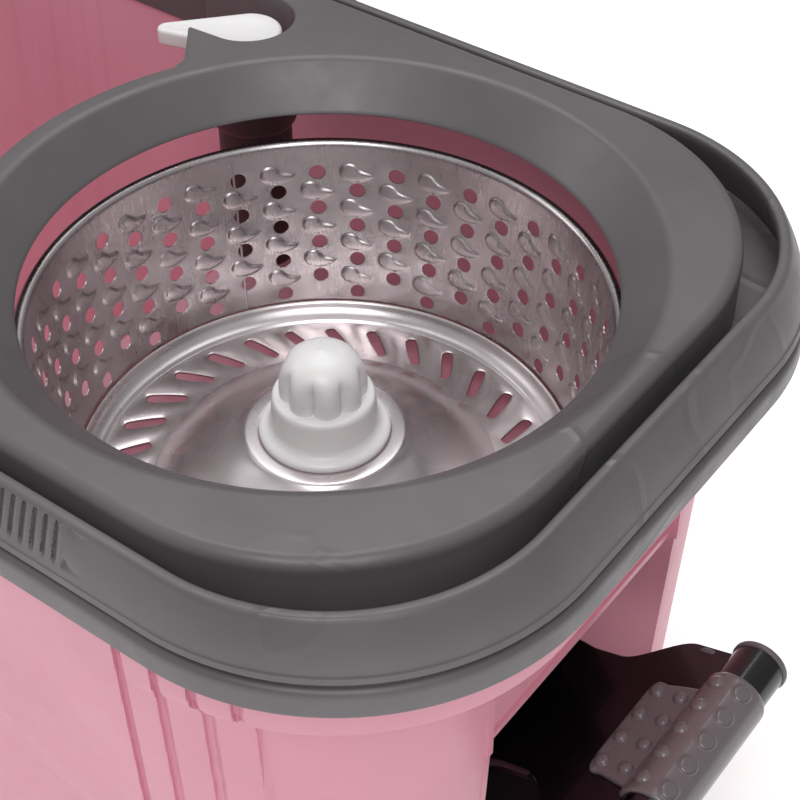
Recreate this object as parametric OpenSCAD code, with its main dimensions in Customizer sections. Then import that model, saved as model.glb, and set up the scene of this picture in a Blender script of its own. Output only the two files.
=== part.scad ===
/* [Bucket] */
// Length of the bucket over its rim band
body_len = 482; // [470:1:495]
// Width of the bucket over its rim band
body_w = 281; // [278:1:290]
// Radius of the rim band's corners
corner_r = 87; // [80:1:92]
// Wall thickness of the bucket
wall = 3; // [2.5:0.1:3.5]
// Draft of the bucket walls in degrees
draft = 2; // [1.5:0.1:2.5]
// How far the pedal end of the wall is set back below its shoulder
end_step = 19; // [17:0.5:20]
// Half-width of the pedal recess in the end wall
recess_half = 57; // [55:0.5:60]
// Height of the top edge of the pedal recess
recess_top = 188; // [180:1:192]

/* [Basket] */
// Height of the basket's rolled rim above the floor
bead_z = 228; // [226:1:230]
// Radius of the basket's rolled rim
bead_r = 97.8; // [96:0.1:98]
// Outside radius of the basket wall at its bottom seam
seam_r = 89.3; // [87:0.1:91]
// Depth of the basket from the rim to its floor ring
basket_depth = 74.8; // [74:0.1:75.5]
// Radius of the opening in the spin collar
opening_r = 96.8; // [96:0.1:97.4]
// Radius of the drive hub below its lobes
hub_r = 17.8; // [16:0.1:19]
// Height of the drive hub above its flange
hub_h = 35; // [30:1:36]

/* [Collar and handle] */
// Height of the collar plate above the basket rim
plate_rise = 26.4; // [26:0.1:28]
// How far the collar plate lies inside the rim band at the ends
plate_inset_x = 19.8; // [19:0.1:21]
// How far the collar plate lies inside the rim band at the sides
plate_inset_y = 15.8; // [15:0.1:17]
// Distance from the basket axis to the pump axis along the bucket
pump_back = 108.7; // [108:0.1:110]
// Distance from the centre plane to the pump axis
pump_side = 93.9; // [93:0.1:95]

/* [Pedal] */
// Height of the pedal bar above the floor when it is up
bar_z = 111.5; // [108:0.5:114]
// Slope of the pedal plate when it is up, in degrees
pedal_slope = 17; // [14:1:20]
// Half-length of the pedal bar
bar_half = 47.6; // [45:0.1:50]
// Distance from the basket axis to the pedal pivot
pivot_reach = 68.5; // [67.5:0.1:69]

/* [Gearing] */
// Teeth on the sector gear if it were a whole wheel
sector_teeth = 58; // [58:1:58]
// Teeth on the input pinion
pinion_teeth = 12; // [12:1:12]
// Teeth on the crown gear
crown_teeth = 30; // [30:1:30]
// Teeth on the vertical drive pinion
drive_teeth = 10; // [10:1:10]
// Height of the input shaft above the floor
shaft_z = 86; // [85:0.5:87]

/* [Hidden] */
$fn = 64;
eps = 0.01;
overhang = 24;
overall_len = body_len + overhang;
mid_x = -overhang / 2;
rim_end = mid_x + body_len / 2;
basket_x = rim_end - 141;
bucket_bottom = 5;
bucket_top = bead_z - 1;
rim_inset = 5.6;
shoulder_low = 194;
shoulder_high = 204;
well_floor = 142;
well_under = well_floor - wall;
step_back = 115;
well_front = 104;
band_low = bead_z - 9;
band_high = bead_z + 1.5;
lip_low = bead_z - 16;
lip_inset = rim_inset + wall + 0.6;
lip_t = 1.6;
end_in = 3;
plate_z = bead_z + plate_rise;
plate_t = 3;
collar_skirt_z = bead_z - 12;
collar_back = 148;
fin_reach = 122;
ring_r = 119.8;
plate_corner = 82.5;
pad_squareness = 4.2;
crest_r = 111;
lip_z = bead_z + 12.2;
window_half = 74.5;
handle_low = band_high + 2;
handle_high = bead_z + 22.7;
handle_pivot_z = handle_low + 9.6;
handle_eye_r = 9.5;
handle_corner = 70;
handle_pin_r = 4;
bay_r = 17.5;
bar_r = 9.6;
bar_pad_r = 11.2;
bar_u = overall_len / 2 - bar_pad_r - basket_x;
inner_bar_r = 7.5;
inner_bar_s = 19;
inner_bar_drop = -5.6;
pinion_m = 2;
centre_gap = pinion_m * (sector_teeth + pinion_teeth) / 2;
pivot_z = shaft_z - sqrt(centre_gap * centre_gap - pivot_reach * pivot_reach);
mesh_angle = atan2(shaft_z - pivot_z, -pivot_reach);
shaft_r = 4;
run_fit = 0.05;
crown_pitch_r = 28.5;
drive_pitch_r = crown_pitch_r * drive_teeth / crown_teeth;
frame_half = 27;
frame_t = 3;
floor_z = bead_z - basket_depth;
flange_z = bead_z - 53.6;
foot_r = 9;
foot_u = 60;
foot_y = 94;
frame_screw_at = [[-22, -20], [-22, 20], [50, -20], [50, 20]];
cover_screw_at = [[-24, 64], [44, 64]];
sector_screw_at = [[-16, 2], [-26, 0]];

// One coordinate of a squared oval, where v is a cosine or a sine
function root(v) = sign(v) * pow(abs(v), 2 / pad_squareness);
// How far the bucket's wall lies inside its rim band at height z
function wall_in(z) = rim_inset + (bucket_top - z) * tan(draft);
// Plan outline of the bucket, drawn in by ix at the ends and iy at the sides, and by back at the
// pedal end, with corners of radius r or, where r is 0, the band's radius drawn in as well
function plan(ix, iy, back = 0, r = 0, n = 20) =
  let (c = r > 0 ? r : corner_r - (ix + iy) / 2)
  [for (q = [0:3], i = [0:n])
    let (side_x = q == 0 || q == 3 ? 1 : -1, side_y = q < 2 ? 1 : -1, a = 90 * (q + i / n),
      reach = body_len / 2 - ix - c - (side_x > 0 ? back + end_in : 0))
    [mid_x + side_x * reach + c * cos(a), side_y * (body_w / 2 - iy - c) + c * sin(a)]];

module slab(z0, z1, ix, iy, back = 0, r = 0) {
  translate([0, 0, z0]) linear_extrude(z1 - z0) polygon(plan(ix, iy, back, r));
}
// The bucket's form as a solid, drawn in by gap and longer by extra at the top and the bottom
module bucket_form(gap, extra) {
  z = [bucket_bottom - extra, shoulder_low + gap, shoulder_high + gap, bucket_top + extra];
  back = [end_step, end_step, 0, 0];
  for (i = [0:2]) hull() {
    slab(z[i], z[i] + eps, wall_in(z[i]) + gap, wall_in(z[i]) + gap, back[i]);
    slab(z[i + 1] - eps, z[i + 1], wall_in(z[i + 1]) + gap, wall_in(z[i + 1]) + gap, back[i + 1]);
  }
}
// A block given by its corners, with x counted from the basket axis
module block(lo, hi) {
  translate([basket_x + lo[0], lo[1], lo[2]]) cube(hi - lo);
}
module post(u, y, z0, z1, r) {
  translate([basket_x + u, y, z0]) cylinder(h = z1 - z0, r = r);
}
module tube(u, y, z0, z1, r_out, r_in) {
  difference() {
    post(u, y, z0, z1, r_out);
    post(u, y, z0 - 1, z1 + 1, r_in);
  }
}
// A cylinder along Y between y0 and y1
module axle(u, z, y0, y1, r) {
  translate([basket_x + u, y1, z]) rotate([90, 0, 0]) cylinder(h = y1 - y0, r = r);
}
// A flat profile in the XZ plane, thickened along Y between y0 and y1
module side_plate(u, z, y0, y1) {
  translate([basket_x + u, y1, z]) rotate([90, 0, 0]) linear_extrude(y1 - y0) children();
}

// ---- bucket ----
module inner_wall_blocks() {
  side = recess_half + wall;
  block([-450, -200, 0], [-step_back, 200, bucket_bottom + wall + 0.5]);
  block([-step_back - wall, -200, well_under], [150, 200, well_floor]);
  block([-step_back - wall, -side, 0], [-step_back, side, well_floor]);
  block([-step_back - wall, -side, 0], [150, -recess_half, well_floor]);
  block([-step_back - wall, recess_half, 0], [150, side, well_floor]);
  block([-step_back - wall, -200, 0], [-step_back, 200, well_floor]);
  block([well_front, -side, well_under], [150, side, recess_top + wall]);
  block([foot_u - 8, -200, 0], [foot_u + 8, 200, bucket_bottom + wall]);
  for (s = [-1, 1]) post(foot_u, s * foot_y, 0, bucket_bottom + wall, foot_r + 3);
}
module bucket_shell() color("#d095a2") {
  difference() {
    bucket_form(0, 0);
    difference() {
      bucket_form(wall, 1);
      inner_wall_blocks();
    }
    block([-step_back, -recess_half, 0], [well_front + wall, recess_half, well_under]);
    block([well_front + wall, -recess_half, 0], [160, recess_half, recess_top]);
    post(0, 0, well_under - 1, well_floor + 1, 10);
    for (p = frame_screw_at) post(p[0], p[1], well_under - 1, well_under + 2, 2);
  }
}
module rim_trim() color("#767375") difference() {
  union() {
    difference() {
      slab(band_low, band_high, 0, 0);
      slab(band_low - 1, bucket_top + 0.2, rim_inset, rim_inset);
    }
    intersection() {
      slab(lip_low, bucket_top + 1, lip_inset, lip_inset);
      block([-400, -200, 0], [-collar_back - 3, 200, band_high]);
    }
  }
  slab(lip_low - 1, band_high + 1, lip_inset + lip_t, lip_inset + lip_t);
}
module foot(u, y) color("#3c3a3b") post(u, y, 0, bucket_bottom, foot_r);
module foot_spin_near() foot(foot_u, -foot_y);
module foot_spin_far() foot(foot_u, foot_y);
module foot_wash_near() foot(-270, -80);
module foot_wash_far() foot(-270, 80);

// ---- collar over the spin side ----
module window_plan() {
  difference() {
    polygon([[-106, 56], [-fin_reach, window_half], [-fin_reach, pump_side], [-200, pump_side],
      [-200, -window_half], [-fin_reach, -window_half], [-106, -56]]);
    circle(r = ring_r, $fn = 128);
  }
}
module bay_plan(r) {
  translate([-pump_back, pump_side]) circle(r = r);
  translate([-200, pump_side - r]) square([200 - pump_back, 2 * r]);
}
module collar_plan(ix, iy, r) {
  intersection() {
    translate([-basket_x, 0]) polygon(plan(ix, iy, 0, r));
    translate([-collar_back, -200]) square([400, 400]);
  }
}
// Points of the funnel from its lip to the plate, lowered by drop
function funnel(drop) = [[opening_r, lip_z - drop], [crest_r, plate_z - 2.4 - drop],
  [crest_r + 2.5, plate_z - 0.7 - drop], [crest_r + 6, plate_z - drop]];
module funnel_ring() {
  under = funnel(plate_t);
  rotate_extrude($fn = 128) polygon(concat(funnel(0), [under[3], under[2], under[1]],
    [[opening_r + 1.4, lip_z - 1.2], [opening_r, lip_z - 1.2]]));
}
module collar_wall(z0, z1, ix, iy, r, ix2, iy2) {
  translate([0, 0, z0]) linear_extrude(z1 - z0) difference() {
    collar_plan(ix, iy, r);
    translate([-basket_x, 0]) polygon(plan(ix2, iy2, 0, plate_corner - 3));
    translate([-250, -window_half]) square([200, 2 * window_half]);
  }
}
module spin_collar() color("#7a7779") translate([basket_x, 0, 0]) {
  difference() {
    union() {
      translate([0, 0, plate_z - plate_t]) linear_extrude(plate_t) difference() {
        collar_plan(plate_inset_x, plate_inset_y, plate_corner);
        circle(r = crest_r + 5.5, $fn = 128);
        window_plan();
        bay_plan(bay_r);
      }
      funnel_ring();
      collar_wall(collar_skirt_z, plate_z - 1, plate_inset_x, plate_inset_y, plate_corner,
        plate_inset_x + 3, plate_inset_y + 3);
      collar_wall(band_high + 0.1, band_high + 1.4, 8, 8, corner_r - 8,
        plate_inset_x + 2, plate_inset_y + 2);
      translate([0, 0, bead_z + 2]) difference() {
        linear_extrude(plate_rise - 3) intersection() {
          circle(r = ring_r, $fn = 128);
          translate([-200, -58]) square([120, 116]);
        }
        translate([0, 0, -1]) cylinder(h = plate_rise, r = ring_r - 3, $fn = 128);
      }
      translate([0, 0, bead_z - 2]) linear_extrude(plate_rise) intersection() {
        difference() {
          bay_plan(bay_r + 2.5);
          bay_plan(bay_r);
        }
        union() {
          translate([-fin_reach, 0]) square([200, 200]);
          translate([-collar_back, pump_side]) square([200, 200]);
        }
      }
      translate([0, 0, bead_z - 2]) linear_extrude(2.5) intersection() {
        bay_plan(bay_r + 1);
        translate([-128, 0]) square([200, 200]);
      }
    }
    translate([-pump_back, pump_side, bead_z - 5]) cylinder(h = 10, r = 12.2);
    for (s = [-1, 1]) translate([mid_x - basket_x, s * (body_w / 2 + 20), handle_pivot_z])
      rotate([s * 90, 0, 0]) cylinder(h = 60, r = handle_pin_r);
  }
}

// ---- carrying handle ----
module handle_half() {
  difference() {
    hull() {
      slab(handle_low, handle_low + eps, 1, 1);
      slab(handle_high - eps, handle_high, 11, 7.5, 0, handle_corner + 3.5);
    }
    hull() {
      slab(handle_low - 1, handle_low, 4.2, 4.2);
      slab(handle_high - 3, handle_high - 2.9, 14, 10.5, 0, handle_corner + 0.5);
    }
    slab(handle_low - 2, handle_high + 1, 14.5, 11, 0, handle_corner);
    translate([mid_x - 400, -200, 0]) cube([400, 400, 400]);
  }
}
module carry_handle() color("#6a6769") difference() {
  union() {
    handle_half();
    for (s = [-1, 1]) translate([mid_x, s * (body_w / 2 - 1), handle_pivot_z])
      rotate([s * 90, 0, 0]) cylinder(h = 7, r = handle_eye_r);
  }
  for (s = [-1, 1]) translate([mid_x, s * (body_w / 2 + 10), handle_pivot_z])
    rotate([s * 90, 0, 0]) cylinder(h = 40, r = handle_pin_r + run_fit);
}
// Headed pin that holds one eye of the handle to the collar wall
module handle_pin(s) color("#5c595b") {
  translate([mid_x, s * body_w / 2, handle_pivot_z]) rotate([s * 90, 0, 0]) {
    cylinder(h = plate_inset_y + 5, r = handle_pin_r);
    translate([0, 0, -0.2]) cylinder(h = 1.1, r = 6.5);
    translate([0, 0, plate_inset_y + 3.2]) cylinder(h = 1.8, r = 6);
  }
}
module handle_pin_near() handle_pin(-1);
module handle_pin_far() handle_pin(1);

// ---- gearbox under the raised floor ----
module shaft_bush() color("#e8e6e0") difference() {
  union() {
    post(0, 0, well_under - 4, well_floor + 2, 10);
    post(0, 0, well_floor, well_floor + 2, 13);
  }
  post(0, 0, well_under - 5, well_floor + 3, shaft_r + run_fit);
}
module shaft_seal() color("#2b2a2b") tube(0, 0, well_floor + 2, well_floor + 5, 11, shaft_r + 0.3);
module frame_side(s) {
  y0 = s > 0 ? frame_half - frame_t : -frame_half;
  side_plate(0, 0, y0, y0 + frame_t) polygon([[-30, 52], [-30, well_under - 3],
    [84, well_under - 3], [84, 96], [80, 60], [62, 56], [30, 52]]);
}
module gearbox_frame() color("#2a292b") difference() {
  union() {
    block([-30, -frame_half, well_under - 3], [84, frame_half, well_under]);
    for (s = [-1, 1]) frame_side(s);
  }
  post(0, 0, well_under - 5, well_floor, 14);
  axle(0, shaft_z, -40, 40, 6);
  axle(pivot_reach, pivot_z, -40, 40, shaft_r);
  for (p = frame_screw_at) post(p[0], p[1], well_under - 5, well_floor, 2);
  for (p = cover_screw_at) axle(p[0], p[1], -40, 40, 1.5);
}
module frame_screws() color("#b9bcc0") for (p = frame_screw_at) {
  post(p[0], p[1], well_under - 5.5, well_under - 3, 3.6);
  post(p[0], p[1], well_under - 4, well_under + 1.8, 2);
}
module gearbox_cover() color("#3a393b") difference() {
  block([-36, -frame_half - 2.6, 34], [60, frame_half + 2.6, 72]);
  block([-33, -frame_half - 0.1, 36.5], [61, frame_half + 0.1, 73]);
  for (p = cover_screw_at) axle(p[0], p[1], -40, 40, 1.5);
}
// Dark tray that closes the recess under and behind the pedal
module pedal_tray() color("#1b191a") difference() {
  back = 64;
  front = 100;
  low = 14;
  fit = recess_half - 0.2;
  block([back, -fit, low], [front, fit, well_under]);
  block([back + 2.5, -fit + 2.2, low + 2.5], [front - 2.2, fit - 2.2, well_under + 1]);
  block([back + 2.5, -fit - 1, 26], [front + 1, fit + 1, well_under + 1]);
  block([back - 1, -32, 34], [back + 3, 32, well_under + 1]);
}
module cover_screws() color("#b9bcc0") for (p = cover_screw_at, s = [-1, 1]) {
  inner = frame_half - 2.5;
  outer = frame_half + 2.6;
  axle(p[0], p[1], s > 0 ? inner : -outer, s > 0 ? outer : -inner, 1.5);
  axle(p[0], p[1], s > 0 ? outer : -outer - 1.8, s > 0 ? outer + 1.8 : -outer, 3);
}
module bushing(s) color("#c9a86a") {
  y = frame_half - frame_t;
  difference() {
    union() {
      axle(0, shaft_z, s > 0 ? y : -y - frame_t, s > 0 ? y + frame_t : -y, 6);
      axle(0, shaft_z, s > 0 ? y - 1.2 : -y, s > 0 ? y : -y + 1.2, 8);
    }
    axle(0, shaft_z, -40, 40, shaft_r + run_fit);
  }
}
module near_bushing() bushing(-1);
module far_bushing() bushing(1);
module pedal_pivot_pin() color("#c4c7ca") axle(pivot_reach, pivot_z, -31, 31, shaft_r);
module pivot_clips() color("#9a9da0") for (s = [-1, 1]) difference() {
  axle(pivot_reach, pivot_z, s > 0 ? 27.5 : -29, s > 0 ? 29 : -27.5, 7);
  axle(pivot_reach, pivot_z, -40, 40, shaft_r);
}
module return_spring() color("#a7abae") {
  coil_r = 9.5;
  wire_r = 0.9;
  turns = 6;
  for (i = [0:turns - 1]) translate([basket_x + pivot_reach, -8 + 1.6 * i, pivot_z])
    rotate([90, 0, 0]) rotate_extrude() translate([coil_r, 0]) circle(r = wire_r, $fn = 20);
  translate([basket_x + pivot_reach, -8, pivot_z + coil_r]) rotate([0, -75, 0])
    cylinder(h = 34, r = wire_r, $fn = 20);
}

// ---- soap pump ----
module soap_bottle() color("#4b4a4d") difference() {
  union() {
    post(-pump_back, pump_side, 145, bead_z - 18, 14.5);
    difference() {
      post(-pump_back, pump_side, bead_z - 19, bead_z - 3, 17);
      post(-pump_back, pump_side, bead_z - 9.4, bead_z, 12.4);
    }
    post(-pump_back, pump_side, bead_z - 10, bead_z - 1, 11);
  }
  post(-pump_back, pump_side, 147, bead_z - 12, 12.5);
  post(-pump_back, pump_side, bead_z - 13, bead_z + 3, 9.5);
}
module pump_collar() color("#e9e8e8") difference() {
  union() {
    post(-pump_back, pump_side, bead_z - 9, bead_z + 1.5, 12);
    post(-pump_back, pump_side, bead_z + 1.5, bead_z + 3.5, 6.5);
  }
  post(-pump_back, pump_side, bead_z - 10, bead_z - 1, 11);
  post(-pump_back, pump_side, bead_z - 5, bead_z + 20, 3.5 + run_fit);
}
module dip_tube() color("#dcdad6") tube(-pump_back, pump_side, 149, bead_z - 31, 3, 2);
module pump_stem() color("#f0efee") post(-pump_back, pump_side, bead_z - 10, bead_z + 14.5, 3.5);
module pump_spring() color("#c4c7ca") tube(-pump_back, pump_side, bead_z - 30, bead_z - 10.2, 3.4, 2.6);
module pump_head() color("#eceaea") translate([basket_x - pump_back, pump_side, bead_z + 14.5]) {
  nozzle = [-28.4, -15.1];
  difference() {
    hull() {
      cylinder(h = 6.5, r = 13, $fn = 32);
      translate([nozzle[0], nozzle[1], 0]) cylinder(h = 5, r = 3.2, $fn = 32);
    }
    translate([0, 0, 64]) sphere(r = 59, $fn = 96);
  }
}

// ---- basket ----
function wall_r(z) = seam_r + (bead_r - 1.2 - seam_r) * (z - 158) / (bead_z - 162);
module basket_wall() color("#c9cacb") translate([basket_x, 0, 0]) rotate_extrude($fn = 128) {
  polygon([[seam_r, 157], [wall_r(bead_z - 3), bead_z - 3], [wall_r(bead_z - 3) - 1, bead_z - 3],
    [seam_r - 1, 157]]);
  translate([bead_r, bead_z - 2.3]) circle(r = 2.3, $fn = 32);
}
module basket_floor() color("#c4c5c6") difference() {
  lip = seam_r - 1.1;
  cone = flange_z - 1;
  translate([basket_x, 0, 0]) rotate_extrude($fn = 128) polygon([[5, cone], [28, cone],
    [59, floor_z + 1], [61, floor_z], [82, floor_z], [lip - 2, 156.2], [lip - 1, 158], [lip - 1, 160],
    [lip, 160], [lip, 157.4], [lip - 1.4, 155], [82.5, floor_z - 1.2], [60, floor_z - 1.2],
    [58, floor_z - 0.6], [27, cone - 1.2], [5, cone - 1.2]]);
  hub_screw_places() cylinder(h = 12, r = 1.5);
}
module drive_hub() color("#efeeec") translate([basket_x, 0, 0]) difference() {
  union() {
    translate([0, 0, flange_z - 1]) cylinder(h = 3.5, r = 23);
    translate([0, 0, flange_z]) cylinder(h = hub_h * 0.5, r = hub_r);
    translate([0, 0, flange_z]) cylinder(h = hub_h * 0.82, r = 11);
    for (i = [0:7]) rotate([0, 0, 45 * i]) translate([9.8, 0, flange_z])
      cylinder(h = hub_h * 0.82, r = 5.2);
    translate([0, 0, flange_z + hub_h * 0.82]) intersection() {
      cylinder(h = hub_h * 0.18, r = 12);
      translate([0, 0, hub_h * 0.18 - 14]) sphere(r = 14);
    }
  }
  translate([0, 0, flange_z - 3]) cylinder(h = 20, r = shaft_r + 2);
  translate([-basket_x, 0, 0]) hub_screw_places() cylinder(h = 8, r = 1.5);
}
// Three places under the hub where its screws come up through the washer
module hub_screw_places() {
  for (a = [0, 120, 240]) translate([basket_x, 0, flange_z - 6.5]) rotate([0, 0, a])
    translate([14.5, 0, 0]) children();
}
module hub_washer() color("#aeb1b4") difference() {
  tube(0, 0, flange_z - 4.4, flange_z - 2.3, 20, shaft_r + 0.01);
  hub_screw_places() cylinder(h = 8, r = 1.5);
}
module hub_screws() color("#b9bcc0") hub_screw_places() {
  cylinder(h = 2, r = 3);
  cylinder(h = 7.5, r = 1.5);
}
module basket_shaft() color("#c4c7ca") {
  post(0, 0, well_under - 6, flange_z + 15, shaft_r);
  post(0, 0, flange_z - 1, flange_z + 15, shaft_r + 1.9);
}
module clutch_teeth(z, up) {
  for (i = [0:7]) translate([basket_x, 0, z]) rotate([0, 0, 45 * i])
    translate([6, -1.2, up ? 0 : -1.6]) cube([6, 2.4, 1.6]);
}
module clutch_driven() color("#d8d6cf") {
  difference() {
    post(0, 0, well_under - 11.5, well_under - 6.6, 12.5);
    post(0, 0, well_under - 12, well_under - 6, shaft_r + 0.01);
  }
  clutch_teeth(well_under - 11.5, false);
}
module shaft_clip() color("#9a9da0") tube(0, 0, well_under - 6.4, well_under - 5, 7.5, shaft_r + 0.01);

// ---- gears ----
// Straight-flanked spur tooth set over the teeth numbered first to last
module spur(teeth, m, first, last, thin) {
  r = m * teeth / 2;
  half = PI * m / 4 - thin;
  for (i = [first:last]) rotate(360 * i / teeth) polygon([[r - 1.3 * m, -half - 0.45 * m],
    [r + 0.85 * m, -half + 0.36 * m], [r + 0.85 * m, half - 0.36 * m], [r - 1.3 * m, half + 0.45 * m]]);
}
module clutch_driver() color("#d8d6cf") {
  low = shaft_z + crown_pitch_r - 3;
  disc_z = low + 7;
  m = 2 * drive_pitch_r / drive_teeth;
  translate([basket_x, 0, low]) linear_extrude(7) {
    circle(r = drive_pitch_r - 2);
    rotate(-90) spur(drive_teeth, m, 0, drive_teeth - 1, 0.42);
  }
  post(0, 0, disc_z, well_under - 15.6, 12.5);
  clutch_teeth(well_under - 15.6, true);
}
module input_shaft() color("#c4c7ca") axle(0, shaft_z, -31, 31, shaft_r);
module input_pinion() color("#d8d6cf") side_plate(0, shaft_z, 10.5, 17.5) difference() {
  union() {
    circle(r = pinion_m * pinion_teeth / 2 - 2.4);
    rotate(mesh_angle + 180 + 180 / pinion_teeth)
      spur(pinion_teeth, pinion_m, 0, pinion_teeth - 1, 0.28);
  }
  circle(r = shaft_r + 0.01);
}
module crown_gear() color("#d8d6cf") difference() {
  union() {
    axle(0, shaft_z, -17, -12.2, crown_pitch_r + 3.2);
    axle(0, shaft_z, -21, -17, 9);
    for (i = [0:crown_teeth - 1]) translate([basket_x, 0, shaft_z])
      rotate([0, (i + 0.5) * 360 / crown_teeth, 0]) translate([-1.0, -12.3, crown_pitch_r - 2.8])
        cube([2.0, 4.1, 5.6]);
  }
  axle(0, shaft_z, -40, 0, shaft_r + 0.01);
}
module sector_gear() color("#d8d6cf") side_plate(pivot_reach, pivot_z, 10.5, 17.5) difference() {
  union() {
    intersection() {
      difference() {
        circle(r = pinion_m * sector_teeth / 2 - 2.4, $fn = 128);
        circle(r = 44, $fn = 128);
      }
      polygon([[0, 0], [-75 * cos(22), 75 * sin(22)], [-90, 0], [-75 * cos(30), -75 * sin(30)]]);
    }
    rotate(mesh_angle) spur(sector_teeth, pinion_m, -1, 6, 0.28);
    polygon([[4, 6], [-46, 13], [-46, -12], [-44, -24], [-40, -26], [4, -7]]);
    circle(r = 9);
  }
  circle(r = shaft_r + run_fit);
  for (p = sector_screw_at) translate(p) circle(r = 1.5);
}
module sector_screws() color("#b9bcc0") for (p = sector_screw_at) {
  axle(pivot_reach + p[0], pivot_z + p[1], 9, 10.5, 3);
  axle(pivot_reach + p[0], pivot_z + p[1], 10.5, 21, 1.5);
}

// ---- pedal ----
// Places children in the pedal's own frame: origin on the bar axis, +X up its slope
module on_pedal() {
  translate([basket_x + bar_u, 0, bar_z]) rotate([0, -pedal_slope, 0]) children();
}
function edge(s) = 34 + 9 * pow(sin(90 * max(0, min(1, (s + 50) / 34))), 2);
module pedal_lever() color("#151214") {
  plate_in = -68;
  difference() {
    union() {
      on_pedal() {
        translate([0, 0, -2]) linear_extrude(4) polygon(concat(
          [for (s = [plate_in:4:-4]) [s, -edge(s)]],
          [for (s = [-4:-4:plate_in]) [s, edge(s)]]));
        translate([0, bar_half - 2, 0]) rotate([90, 0, 0]) cylinder(h = 2 * bar_half - 4, r = bar_r);
        translate([-inner_bar_s, bar_half - 4, inner_bar_drop]) rotate([90, 0, 0])
          cylinder(h = 2 * bar_half - 8, r = inner_bar_r);
      }
      for (y = [-22.7, 18.7]) side_plate(pivot_reach, pivot_z, y, y + 4) {
        circle(r = 9);
        polygon([[-30, -5], [-30, 8], [0, 9], [19, 19], [70, 35], [66, 26], [24, 4], [2, -9], [-6, -8]]);
      }
    }
    axle(pivot_reach, pivot_z, -40, 40, shaft_r + run_fit);
    for (p = sector_screw_at) axle(pivot_reach + p[0], pivot_z + p[1], 10, 22, 1.5);
  }
}
module pedal_pad() color("#6f696b") on_pedal() difference() {
  translate([-28, -25, 2]) linear_extrude(2.4) polygon([for (t = [0:6:360])
    [12 + 12 * root(cos(t)), 25 + 25 * root(sin(t))]]);
  translate([0, 50, 0]) rotate([90, 0, 0]) cylinder(h = 100, r = bar_pad_r + 0.1);
}
module bar_pad() color("#6f696b") on_pedal() difference() {
  translate([0, 30, 0]) rotate([90, 0, 0]) cylinder(h = 60, r = bar_pad_r);
  translate([0, 31, 0]) rotate([90, 0, 0]) cylinder(h = 62, r = bar_r);
  translate([-20, -31, -2.1]) cube([20, 62, 4.2]);
  translate([-20, -31, -12]) cube([12, 62, 14]);
}
module bar_caps() color("#77747a") on_pedal() for (s = [-1, 1]) {
  translate([0, s * (bar_half - 2), 0]) rotate([-s * 90, 0, 0]) cylinder(h = 2, r = bar_r);
  translate([-inner_bar_s, s * (bar_half - 4), inner_bar_drop]) rotate([-s * 90, 0, 0])
    cylinder(h = 2, r = inner_bar_r);
}

bucket_shell();
rim_trim();
spin_collar();
foot_spin_near();
foot_spin_far();
foot_wash_near();
foot_wash_far();
carry_handle();
handle_pin_near();
handle_pin_far();
shaft_bush();
shaft_seal();
gearbox_frame();
frame_screws();
gearbox_cover();
cover_screws();
pedal_tray();
near_bushing();
far_bushing();
pedal_pivot_pin();
pivot_clips();
return_spring();
soap_bottle();
pump_collar();
dip_tube();
pump_stem();
pump_head();
pump_spring();
basket_wall();
basket_floor();
drive_hub();
hub_washer();
hub_screws();
basket_shaft();
clutch_driven();
shaft_clip();
clutch_driver();
input_shaft();
input_pinion();
crown_gear();
pedal_lever();
sector_gear();
sector_screws();
pedal_pad();
bar_pad();
bar_caps();
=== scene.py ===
import math
import bmesh
import bpy
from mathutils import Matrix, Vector


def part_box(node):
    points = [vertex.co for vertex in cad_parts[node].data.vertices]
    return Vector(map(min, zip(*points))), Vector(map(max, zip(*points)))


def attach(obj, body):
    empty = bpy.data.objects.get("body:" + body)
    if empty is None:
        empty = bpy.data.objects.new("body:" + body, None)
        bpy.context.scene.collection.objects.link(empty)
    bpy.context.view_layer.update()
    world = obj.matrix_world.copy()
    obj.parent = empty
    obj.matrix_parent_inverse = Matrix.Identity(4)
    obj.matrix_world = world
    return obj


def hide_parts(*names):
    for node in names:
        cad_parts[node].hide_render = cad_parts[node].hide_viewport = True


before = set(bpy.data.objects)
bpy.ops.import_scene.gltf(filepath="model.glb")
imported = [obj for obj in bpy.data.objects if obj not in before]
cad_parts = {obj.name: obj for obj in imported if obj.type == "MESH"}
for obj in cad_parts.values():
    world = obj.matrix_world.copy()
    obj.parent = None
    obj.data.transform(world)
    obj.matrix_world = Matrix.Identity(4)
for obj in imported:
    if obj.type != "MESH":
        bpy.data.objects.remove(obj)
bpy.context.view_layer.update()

MM = 0.001
TAU = 2 * math.pi
CORNER_R = 87


# ---- places taken from the frame, in millimetres ----
def span(node):
    """Lowest and highest corner of a CAD node, in millimetres."""
    lo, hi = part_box(node)
    return lo / MM, hi / MM


BAND_LO, BAND_HI = span("rim_trim")
SHELL_LO, SHELL_HI = span("bucket_shell")
BASKET_LO, BASKET_HI = span("basket_wall")
COLLAR_LO, COLLAR_HI = span("spin_collar")
HANDLE_LO = span("carry_handle")[0]
HUB_LO, HUB_HI = span("drive_hub")
HEAD_HI = span("pump_head")[1]
STEM_LO, STEM_HI = span("pump_stem")
BAR_LO, BAR_HI = span("bar_pad")
PIVOT_LO, PIVOT_HI = span("pedal_pivot_pin")
BOTTLE_LO, BOTTLE_HI = span("soap_bottle")
PIN_LO, PIN_HI = span("handle_pin_near")

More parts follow.
